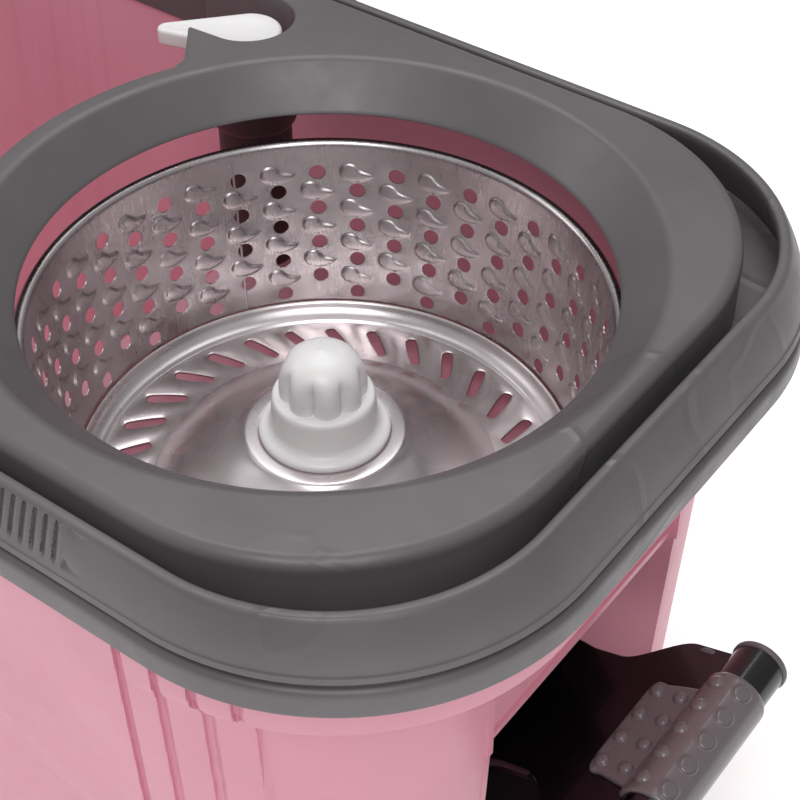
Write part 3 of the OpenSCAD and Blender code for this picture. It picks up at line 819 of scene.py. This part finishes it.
def build_handle():
    low = HANDLE_LO.z
    high = BEAD_Z + 22.7
    fine = [side_angle(RIB_FROM + 0.35 * i, side) for side in (-1, 1)
            for i in range(int((RIB_TO - RIB_FROM) / 0.35) + 1)]
    fine = [a if a < math.pi else a - TAU for a in fine]
    base = even_angles(170, -math.pi / 2 + 0.001, math.pi / 2 - 0.001)
    angles = stations(base + [math.pi / 2 - 0.001], fine)

    def outer(level, out=0.0, lift=0.0, ribs=True):
        row = []
        for phi in angles:
            ix = mix(1, 11, level)
            iy = mix(1, 7.5, level)
            x, y, _ = plan_point(phi, ix, iy, 0)
            press = rib_depth(x - AXIS_X, level) if ribs and abs(y) > HALF_W * 0.7 else 0
            row.append(plan_point(phi, ix + press - out, iy + press - out, mix(low, high, level) + lift,
                                  mix(86, 73.5, level)))
        return row

    levels = [0.05, 0.11, 0.155, 0.165, 0.22, 0.27, 0.31, 0.34, 0.36, 0.42, 0.5, 0.6, 0.7, 0.8, 0.88, 0.9, 0.92, 0.94]
    rows = [outer(0, -0.8), outer(0.015, -0.2)]
    rows += [outer(level, (0.35 if level < 0.16 else 0) + 0.9 * math.sin(math.pi * level)) for level in levels]
    lip = ((10.9, 7.4, 0.5), (11.3, 7.8, 0.15), (12, 8.5, 0), (13.3, 9.9, 0), (14, 10.6, 0.3), (14.4, 11, 1.0))
    rows += [[plan_point(phi, a, b, high - drop, 81.2 - b) for phi in angles] for a, b, drop in lip]
    rows += [[plan_point(phi, mix(14.5, 4.4, t), mix(11, 4.4, t), mix(high - 3, low + 0.4, t), mix(70, 82.6, t))
              for phi in angles] for t in (0, 0.33, 0.66, 1)]
    rows.append([plan_point(phi, 3.6, 3.6, low) for phi in angles])
    form = Form()
    made = form.loft(rows, False, True)
    form.cap([row[0] for row in made])
    form.cap([row[-1] for row in made][::-1])
    make("handle_bow", form, "handle", "grey_plastic", ("carry_handle",), angle=42)
    pivot_z = low + 9.6
    for side, name in ((-1, "handle_eye_near"), (1, "handle_eye_far")):
        eye = Form()
        rows = []
        for r, depth in ((4.15, 0.6), (4.7, 0), (8.2, 0), (9.2, 0.5), (9.5, 1.4), (9.5, 6.8), (9.2, 7), (4.15, 7)):
            y = side * (HALF_W - 1 - depth)
            rows.append([(MID_X + a, y, pivot_z + b) for a, b in turn(r, 48)])
        eye.loft(rows, True, True)
        make(name, eye, "handle", "grey_plastic", ("carry_handle",))


# ---- basket ----
COLUMNS = 40
HOLE_ROWS = 8
ROW_PITCH = 7.4
HOLE_TURN = math.radians(3.5)
SLOT_TURN = math.radians(4.7)
FIRST_ROW_Z = BEAD_Z - 12.5
HOLE_R = 2.8
LONG_SIDE = 10
SHORT_SIDE = 6


def basket_r(z):
    """Inside radius of the basket's wall at height z."""
    return mix(88.3, 95.4, (z - (BEAD_Z - 70)) / 66)


def on_basket(angle, z, rise=0.0):
    r = basket_r(z) - rise
    return (AXIS_X + r * math.cos(angle), r * math.sin(angle), z)


def tile_edge(width, height, long_side=LONG_SIDE, short_side=SHORT_SIDE):
    """Points round a rectangle, anticlockwise from its lower left corner."""
    made = []
    for start, stop, count in (((-1, -1), (1, -1), long_side), ((1, -1), (1, 1), short_side),
                               ((1, 1), (-1, 1), long_side), ((-1, 1), (-1, -1), short_side)):
        for i in range(count):
            made.append((mix(start[0], stop[0], i / count) * width / 2,
                         mix(start[1], stop[1], i / count) * height / 2))
    return made


DROP_SPINE = [(-2.9, 0.35), (0.4, -2.5), (6.0, -0.5)]


def drop_inside(x, y, less):
    """True inside the pressed drop: a fat round end that tapers along a curved spine."""
    for k in range(25):
        t = k / 24
        (ax, ay), (bx, by), (cx, cy) = DROP_SPINE
        px = (1 - t) ** 2 * ax + 2 * t * (1 - t) * bx + t * t * cx
        py = (1 - t) ** 2 * ay + 2 * t * (1 - t) * by + t * t * cy
        if math.hypot(x - px, y - py) < 2.95 * (1 - t) ** 0.8 + 0.42 - less:
            return True
    return False


def drop_outline(around, less):
    """Where rays from the fat end towards each edge point leave the drop."""
    cx, cy = -0.9, -0.75
    made = []
    for x, y in around:
        size = math.hypot(x - cx, y - cy)
        dx, dy = (x - cx) / size, (y - cy) / size
        low, high = 0.0, 9.0
        for _ in range(14):
            half = (low + high) / 2
            if drop_inside(cx + dx * half, cy + dy * half, less):
                low = half
            else:
                high = half
        made.append((cx + dx * low, cy + dy * low))
    return made


def build_basket_wall():
    step = TAU / COLUMNS
    width = step * basket_r(BEAD_Z - 40)
    edge = tile_edge(width, ROW_PITCH)
    turned_by = [math.atan2(y, x) for x, y in edge]
    hole_rings = [[(r * math.cos(a), r * math.sin(a)) for a in turned_by]
                  for r in (HOLE_R + 0.7, HOLE_R + 0.15, HOLE_R)]
    drop_rings = [drop_outline(edge, less) for less in (-0.5, -0.12, 0.25, 0.6, 1.0)]
    form = Form()

    def place(column, z0, points, rise):
        middle = column * step + HOLE_TURN
        return form.row([on_basket(middle - x / width * step, z0 + y, rise) for x, y in points])

    for column in range(COLUMNS):
        for row in range(HOLE_ROWS):
            z0 = FIRST_ROW_Z - row * ROW_PITCH
            if (row + column) % 2 == 0:
                rings = [place(column, z0, edge, 0), place(column, z0, hole_rings[0], 0),
                         place(column, z0, hole_rings[1], -0.06), place(column, z0, hole_rings[2], -0.3)]
                for a, b in zip(rings, rings[1:]):
                    form.strip(a, b)
            elif row < HOLE_ROWS - 1:
                rings = [place(column, z0, edge, 0)]
                for ring, rise in zip(drop_rings, (0, 0.04, 0.36, 0.6, 0.68)):
                    rings.append(place(column, z0, ring, rise))
                for a, b in zip(rings, rings[1:]):
                    form.strip(a, b)
                form.fan(rings[-1], on_basket(column * step + HOLE_TURN + 1.0 / width * step, z0 - 0.7, 0.68))
            else:
                form.fan(place(column, z0, edge, 0), on_basket(column * step + HOLE_TURN, z0, 0))
    top = FIRST_ROW_Z + ROW_PITCH / 2
    low = FIRST_ROW_Z - (HOLE_ROWS - 0.5) * ROW_PITCH

    def ring(r, z):
        return circle(r, z, COLUMNS * LONG_SIDE, HOLE_TURN - step / 2)

    bead_r = BASKET_HI.x - AXIS_X - 2.3
    rows = [ring(basket_r(top), top), ring(basket_r(top + 3), top + 3), ring(bead_r - 2.35, BEAD_Z - 4)]
    for k in range(13):
        t = math.radians(180 - 270 * k / 12)
        rows.append(ring(bead_r + 2.3 * math.cos(t), BEAD_Z - 2.3 + 2.3 * math.sin(t)))
    form.loft(rows)
    seam = BEAD_Z - 68
    form.loft([ring(basket_r(low), low), ring(basket_r(seam + 0.7), seam + 0.7), ring(basket_r(seam) + 0.1, seam),
               ring(basket_r(seam) + 0.25, seam - 0.5), ring(basket_r(seam) - 0.1, BEAD_Z - 71)])
    make("basket_wall_sheet", form, "basket", "basket_steel", ("basket_wall",), weld=0.05, thickness=-0.7)
    line = Form()
    weld_at = math.radians(148.5)
    half = 0.32 / 90
    rows = []
    for z in [mix(BEAD_Z - 69, BEAD_Z - 5, i / 24) for i in range(25)]:
        rows.append([on_basket(weld_at + half * (k - 1.5), z, rise)
                     for k, rise in enumerate((-0.1, 0.14, 0.14, -0.1))])
    line.loft(rows, False)
    make("basket_weld", line, "basket", "basket_steel", ("basket_wall",))


SLOTS = 30
SLOT_IN = 60.9
SLOT_OUT = 81.0


def build_basket_floor():
    form = Form()
    count = SLOTS
    long_side = 8
    middle = (SLOT_IN + SLOT_OUT) / 2
    height = SLOT_OUT - SLOT_IN
    step = TAU / count
    skew = math.radians(33)
    edge = tile_edge(1, height, long_side, 10)
    half_run = 5.6

    def slot_ring(grow):
        """Tapered slot, its wide end outwards, leaning over by the skew angle."""
        made = []
        for x, y in edge:
            a = math.atan2(y / height, x)
            lift = math.sin(a)
            r = mix(2.1, 2.85, (lift + 1) / 2) + grow
            px = r * math.cos(a)
            py = r * lift + half_run * max(-1, min(1, lift * 2.2))
            made.append((px * math.cos(skew) + py * math.sin(skew), py * math.cos(skew) - px * math.sin(skew)))
        return made

    def place(slot, points, drop, sheared=False):
        row = []
        for x, y in points:
            r = middle + y
            lean = y * math.tan(skew) / middle
            angle = SLOT_TURN + slot * step + (x * step + lean if sheared else x / r)
            row.append((AXIS_X + r * math.cos(angle), r * math.sin(angle), FLOOR_Z - drop))
        return form.row(row)

    for slot in range(count):
        rings = [place(slot, edge, 0, True), place(slot, slot_ring(0.5), 0), place(slot, slot_ring(0.1), 0.12),
                 place(slot, slot_ring(0), 0.4)]
        for a, b in zip(rings, rings[1:]):
            form.strip(a, b)

    def ring(r, z, lean):
        return circle(r, z, count * long_side, SLOT_TURN + lean * math.tan(skew) / middle - step / 2)

    out = height / 2
    form.loft([ring(r, z, out) for r, z in (
        (SLOT_OUT, FLOOR_Z), (81.5, FLOOR_Z + 0.1), (81.9, FLOOR_Z + 0.45), (82.3, FLOOR_Z + 0.95),
        (82.8, FLOOR_Z + 1.25), (83.6, FLOOR_Z + 1.5), (86.2, FLOOR_Z + 3.2), (87.4, FLOOR_Z + 5),
        (87.9, FLOOR_Z + 6.6))])
    cone = FLANGE_Z - 1
    rise = [(SLOT_IN, FLOOR_Z), (60.4, FLOOR_Z + 0.1), (59.8, FLOOR_Z + 0.6), (59, FLOOR_Z + 1.2)]
    for k in range(1, 12):
        t = k / 12
        rise.append((mix(59, 29.5, t), mix(FLOOR_Z + 1.2, cone - 1.2, t) + 1.6 * math.sin(math.pi * t)))
    rise += [(29.2, cone - 1.1), (28.5, cone - 0.5), (27.8, cone - 0.1), (27.2, cone), (24, cone), (21, cone)]
    form.loft([ring(r, z, -out) for r, z in rise])
    make("basket_floor_sheet", form, "basket", "basket_steel", ("basket_floor",), look=FLOOR_STEEL, weld=0.05,
         thickness=-0.7)


def build_hub():
    form = Form()
    count = 160
    top = HUB_HI.z
    shoulder = FLANGE_Z + 16.2
    plain = [(5.9, FLANGE_Z - 0.9), (21.9, FLANGE_Z - 0.9), (22.8, FLANGE_Z - 0.4), (23, FLANGE_Z + 0.8),
             (22.6, FLANGE_Z + 1.9), (21.4, FLANGE_Z + 2.5), (20.2, FLANGE_Z + 2.9), (19, FLANGE_Z + 4.0),
             (18.5, FLANGE_Z + 5.6), (18.0, shoulder - 2), (17.6, shoulder - 0.6), (16.8, shoulder + 0.3)]
    rows = [[(r, z)] * count for r, z in plain]
    levels = 16
    for k in range(levels + 1):
        t = k / levels
        row = []
        for i in range(count):
            wave = abs(math.cos(4 * TAU * i / count)) ** 0.6
            out = 15.2 * max(0, 1 - t ** 3.4) ** 0.5
            depth = 3.2 * (1 - smooth(t, 0.4, 0.8))
            r = out - depth * (1 - wave) * smooth(out, 0, 9)
            row.append((max(r, 0.3), mix(shoulder + 0.5, top, t)))
        rows.append(row)
    made = form.loft([[(AXIS_X + r * math.cos(TAU * i / count), r * math.sin(TAU * i / count), z)
                       for i, (r, z) in enumerate(row)] for row in rows])
    form.cap(made[-1])
    form.cap(made[0][::-1])
    piece = make("hub_cap", form, "basket", "white_plastic", ("drive_hub",), angle=60)
    return piece


# ---- pump ----
def build_pump():
    reach = (-28.4, -15.1)
    nozzle = (PUMP_U + reach[0], PUMP_Y + reach[1])
    length = math.hypot(*reach)
    heading = math.atan2(reach[1], reach[0])
    big, small = 12.6, 3.6
    count = 96
    lean = math.asin((big - small) / length)

    def outline(inset, share=1.0):
        """Round pad and narrow nozzle joined by straight sides."""
        made = []
        for a in [TAU * i / count for i in range(count)]:
            off = (a - heading + math.pi) % TAU - math.pi
            wide = abs(off) > math.pi / 2 - lean + 0.0001
            u, y, r = (PUMP_U, PUMP_Y, big) if wide else (*nozzle, small)
            made.append((u + (r - inset) * share * math.cos(a), y + (r - inset) * share * math.sin(a)))
        return made

    def height(u, y, z):
        away = math.hypot(u - PUMP_U, y - PUMP_Y)
        return z - 1.6 * smooth(away, 12, length + 3) - 1.0 * (1 - smooth(away, 4, 10.5)) * (z > HEAD_HI.z - 0.4)

    low = STEM_HI.z
    high = HEAD_HI.z
    rows = []
    for inset, z in ((0.6, low), (0, low + 0.7), (0, high - 1.6), (0.25, high - 0.75), (0.8, high - 0.2),
                     (1.6, high)):
        rows.append([(AXIS_X + u, y, height(u, y, z)) for u, y in outline(inset)])
    for share in (0.8, 0.6, 0.4, 0.2, 0.02):
        rows.append([(AXIS_X + u, y, height(u, y, high)) for u, y in outline(1.6, share)])
    make("pump_press_pad", solid(rows), "pump", "white_plastic", ("pump_head",), angle=55)
    centre = (AXIS_X + PUMP_U, PUMP_Y)
    low = BOTTLE_LO.z
    cap = BEAD_Z - 19
    top = BOTTLE_HI.z
    profile = [(0.5, low), (12, low), (13.8, low + 0.7), (14.5, low + 2.6), (14.5, cap - 4), (14.1, cap - 3),
               (14.1, cap + 0.3), (14.6, cap), (15.6, cap + 0.5), (16.5, cap + 1.7), (17, cap + 3.4),
               (17, top - 2.6), (16.6, top - 2.1), (13, top - 2), (12.4, top - 2.6), (12.4, top - 8),
               (11, top - 8.3), (11, top - 0.3), (9.8, top - 0.3)]
    make("bottle_shell", revolved(profile, 72, centre), "root", "dark_plastic", ("soap_bottle",),
         look=BOTTLE_PAINTED_SHADE, thickness=-1.4)


# ---- pedal ----
def on_pedal(s, y, h):
    """A point in the pedal's own frame: s up its slope from the bar axis, h square to its plate."""
    return (BAR_X + s * math.cos(PEDAL_SLOPE) - h * math.sin(PEDAL_SLOPE), y,
            BAR_Z + s * math.sin(PEDAL_SLOPE) + h * math.cos(PEDAL_SLOPE))


def plate_half(s):
    """Half-width of the pedal's plate: wide at the bar, with a waist before it passes into the recess."""
    return 31 + 16 * smooth(s, -47, -24) + 1.8 * (1 - smooth(s, -67, -56))


def rod(form, s, h, r, y0, y1, edge):
    """A closed bar along Y in the pedal's frame with rounded ends."""
    rows = []
    for y, less in ((y0, edge), (y0 + edge * 0.3, edge * 0.3), (y0 + edge, 0), (y1 - edge, 0),
                    (y1 - edge * 0.3, edge * 0.3), (y1, edge)):
        rows.append([on_pedal(s + a, y, h + b) for a, b in turn(r - less, 64)])
    solid(rows, form)


def dome(form, centre, side_a, side_b, up, size_a, size_b, rise, flat=False):
    """A stud on a surface: a soft dome, or a flat disc with a groove round it."""
    shape = ((1.18, -0.25), (1.0, 0.1), (0.86, 0.62), (0.62, 0.86), (0.34, 0.97), (0.1, 1))
    if flat:
        shape = ((1.3, -0.3), (1.2, 0.25), (1.1, 0.3), (1.0, -0.05), (0.92, 0.3), (0.8, 0.7), (0.5, 0.8), (0.1, 0.82))
    rows = []
    for share, lift in shape:
        rows.append([tuple(centre + side_a * (size_a * a) + side_b * (size_b * b) + up * (rise * lift))
                     for a, b in turn(share, 28)])
    solid(rows, form)


def build_pedal():
    half_t = 2.0
    inward = -68
    stations_s = [mix(inward, -3, i / 60) for i in range(61)]
    near = [(s, -plate_half(s)) for s in stations_s]
    outline = near + [(s, -y) for s, y in near[::-1]]
    rows = []
    for less, h in ((0.9, -half_t), (0.25, -half_t + 0.3), (0, -half_t + 1), (0, half_t - 1), (0.25, half_t - 0.3),
                    (0.9, half_t)):
        rows.append([on_pedal(s + (less if s < inward + 0.1 else 0), y - math.copysign(less, y), h)
                     for s, y in outline])
    plate = solid(rows)
    rod(plate, 0, 0, BAR_R, -BAR_HALF + 2, BAR_HALF - 2, 0.4)
    rod(plate, -19, -5.6, 7.5, -BAR_HALF + 4, BAR_HALF - 4, 0.4)
    arm = [(-30, -5), (-30, 8), (0, 9), (19, 19), (70, 35), (66, 26), (24, 4), (2, -9), (-6, -8)]
    for low in (-22.7, 18.7):
        solid([[(PIVOT_X + a, y, PIVOT_Z + b) for a, b in arm] for y in (low, low + 4)], plate)
        solid([[(PIVOT_X + a, y, PIVOT_Z + b) for a, b in turn(9, 40)] for y in (low - 0.2, low + 4.2)], plate)
    make("pedal_body", plate, "pedal", "black_plastic", ("pedal_lever",), angle=40)

    rows = []
    count = 120
    for less, h in ((0.2, half_t - 0.4), (0, half_t + 0.6), (0.15, half_t + 1.5), (0.7, half_t + 2.15),
                    (1.6, half_t + 2.4)):
        row = []
        for i in range(count):
            t = TAU * i / count
            cs, sn = math.cos(t), math.sin(t)
            s = -15.7 + (12 - less) * math.copysign(abs(cs) ** 0.22, cs)
            end = 24 - less + 1.3 * math.sin((s + 16) / 10 * math.pi)
            row.append(on_pedal(s, end * math.copysign(abs(sn) ** 0.35, sn), h))
        rows.append(row)
    pad = solid(rows)
    slope_up = Vector((-math.sin(PEDAL_SLOPE), 0, math.cos(PEDAL_SLOPE)))
    along = Vector((math.cos(PEDAL_SLOPE), 0, math.sin(PEDAL_SLOPE)))
    across = Vector((0, 1, 0))
    for y in (-18, -6, 6, 18):
        for s in (-23.3, -14):
            dome(pad, Vector(on_pedal(s, y - 0.5, half_t + 2.4)), along, across, slope_up, 2.7, 2.7, 1.8)
    make("plate_grip", pad, "pedal", "pad_rubber", ("pedal_pad",), angle=50)

    rows = []
    start, stop = math.radians(-92), math.radians(152)
    for y, less in ((-30, 1.2), (-29.7, 0.5), (-29, 0.1), (-28, 0), (28, 0), (29, 0.1), (29.7, 0.5), (30, 1.2)):
        row = [on_pedal((BAR_R - 0.2) * math.cos(mix(start, stop, i / 40)), y,
                        (BAR_R - 0.2) * math.sin(mix(start, stop, i / 40))) for i in range(41)]
        row += [on_pedal((BAR_PAD_R - less) * math.cos(mix(stop, start, i / 40)), y,
                         (BAR_PAD_R - less) * math.sin(mix(stop, start, i / 40))) for i in range(41)]
        rows.append(row)
    grip = solid(rows)
    for degrees, size_around, size_along, rise, flat in ((106, 2.8, 2.8, 1.4, False), (53, 2.9, 3.4, 0.7, True)):
        t = math.radians(degrees)
        out = along * math.cos(t) + slope_up * math.sin(t)
        round_it = slope_up * math.cos(t) - along * math.sin(t)
        for y in (-24, -12, 0, 12, 24):
            centre = Vector(on_pedal(0, y, 0)) + out * (BAR_PAD_R - 0.15)
            dome(grip, centre, round_it, across, out, size_around, size_along, rise, flat)
    make("bar_grip", grip, "pedal", "pad_rubber", ("bar_pad",), angle=50)

    caps = Form()
    for side in (-1, 1):
        for s, h, r, start in ((0, 0, BAR_R + 0.7, BAR_HALF - 2.2), (-19, -5.6, 8.1, BAR_HALF - 4.2)):
            y0, y1 = sorted((side * start, side * (start + 2.4)))
            rod(caps, s, h, r, y0, y1, 0.7)
    make("bar_end_caps", caps, "pedal", "grey_plastic", ("bar_caps",), angle=50)


# ---- everything ----
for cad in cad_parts.values():
    for place in cad.material_slots:
        place.material = LOOKS[place.material.name.split(".")[0]]

build_bucket()
build_inner_walls()
build_rim_band()
build_collar()
build_handle()
build_basket_wall()
build_basket_floor()
build_hub()
build_pump()
build_pedal()


# ---- stage ----
def build_stage():
    scene = bpy.context.scene
    scene.view_settings.view_transform = "Standard"
    floor_form = Form()
    size = 6000
    rows = floor_form.loft([[(mix(-size, size, i / 8), y, 0) for i in range(9)] for y in (-size, size)], False)
    mesh = bpy.data.meshes.new("floor")
    mesh.from_pydata([Vector(p) * MM for p in floor_form.points], [], floor_form.faces)
    floor = bpy.data.objects.new("floor", mesh)
    scene.collection.objects.link(floor)
    paper = Shader("paper", Roughness=0.9, Emission_Color=(1, 1, 1, 1), Emission_Strength=0.3)
    paper.finish(Base_Color=paper.colours(paper.noise(3, 2), linear(250, 250, 250), linear(254, 254, 254)))
    mesh.materials.append(paper.material)
    world = bpy.data.worlds.new("studio")
    world.use_nodes = True
    links = world.node_tree.links
    place = world.node_tree.nodes.new("ShaderNodeTexCoord")
    parts = world.node_tree.nodes.new("ShaderNodeSeparateXYZ")
    ramp = world.node_tree.nodes.new("ShaderNodeValToRGB")
    links.new(place.outputs["Generated"], parts.inputs["Vector"])
    links.new(parts.outputs["Z"], ramp.inputs["Fac"])
    links.new(ramp.outputs["Color"], world.node_tree.nodes["Background"].inputs["Color"])
    ramp.color_ramp.elements[0].position = 0.1
    ramp.color_ramp.elements[0].color = (0.22, 0.22, 0.22, 1)
    ramp.color_ramp.elements[1].position = 0.85
    ramp.color_ramp.elements[1].color = (0.42, 0.42, 0.42, 1)
    world.node_tree.nodes["Background"].inputs["Strength"].default_value = 1
    scene.world = world


def area_light(name, place, target, size, power):
    data = bpy.data.lights.new(name, "AREA")
    data.shape = "RECTANGLE"
    data.size, data.size_y = size
    data.energy = power
    lamp = bpy.data.objects.new(name, data)
    bpy.context.scene.collection.objects.link(lamp)
    lamp.location = place
    lamp.rotation_euler = (Vector(target) - Vector(place)).to_track_quat("-Z", "Y").to_euler()


def build_camera():
    azimuth, elevation = math.radians(36.7), math.radians(42.2)
    data = bpy.data.cameras.new("camera")
    data.lens = 78.75
    data.sensor_width = 36
    data.clip_start = 0.02
    camera = bpy.data.objects.new("camera", data)
    bpy.context.scene.collection.objects.link(camera)
    camera.location = ((AXIS_X + 286.1) * MM, -340.2 * MM, (BEAD_Z + 361.2) * MM)
    camera.rotation_euler = (math.pi / 2 - elevation, 0, azimuth)
    bpy.context.scene.camera = camera


build_stage()
top = (AXIS_X * MM, 0, BEAD_Z * MM)
area_light("overhead", (-0.35, 0.6, 1.9), top, (1.3, 1.0), 13)
area_light("left_window", (-1.6, -0.5, 1.3), top, (0.7, 1.2), 5)
area_light("right_window", (1.3, -1.0, 1.4), top, (0.5, 1.2), 4)
area_light("front_window", (0.7, -1.0, 1.9), top, (0.9, 0.9), 14)
build_camera()
